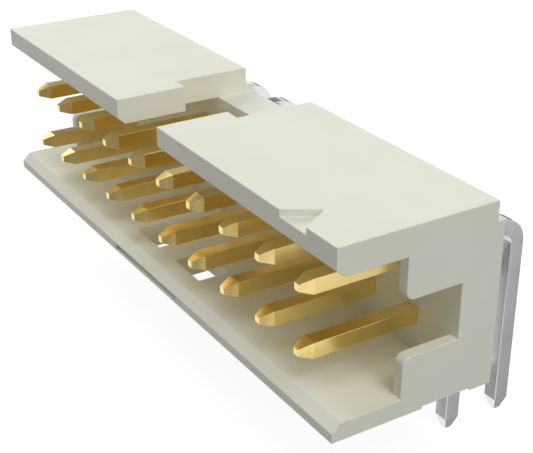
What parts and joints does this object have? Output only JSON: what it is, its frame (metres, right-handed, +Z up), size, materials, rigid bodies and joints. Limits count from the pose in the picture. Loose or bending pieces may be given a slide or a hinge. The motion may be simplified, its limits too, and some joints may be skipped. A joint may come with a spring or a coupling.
{
  "type": "shrouded pin header",
  "caption": "Right-angle shrouded pin header: two rows of square posts in a moulded housing with a stepped key slot and open ends, and solder tails for a circuit board.",
  "frame": {"origin": "on the circuit board's top face, under the middle of the housing's length and depth", "axes": "+X along the row towards position 1, -Y out of the mouth, +Z up from the board"},
  "size_m": [0.028, 0.0102, 0.011],
  "materials": {
    "housing": "ivory moulded thermoplastic, fine satin",
    "contact": "copper-alloy wire, gold-plated post and matt tin-plated tail"
  },
  "bodies": {
    "root": {"housing": "housing", "contact_lower_1": "contact", "contact_lower_2": "contact", "contact_lower_3": "contact", "contact_lower_4": "contact", "contact_lower_5": "contact", "contact_lower_6": "contact", "contact_lower_7": "contact", "contact_lower_8": "contact", "contact_lower_9": "contact", "contact_lower_10": "contact", "contact_upper_1": "contact", "contact_upper_2": "contact", "contact_upper_3": "contact", "contact_upper_4": "contact", "contact_upper_5": "contact", "contact_upper_6": "contact", "contact_upper_7": "contact", "contact_upper_8": "contact", "contact_upper_9": "contact", "contact_upper_10": "contact"}
  },
  "joints": []
}
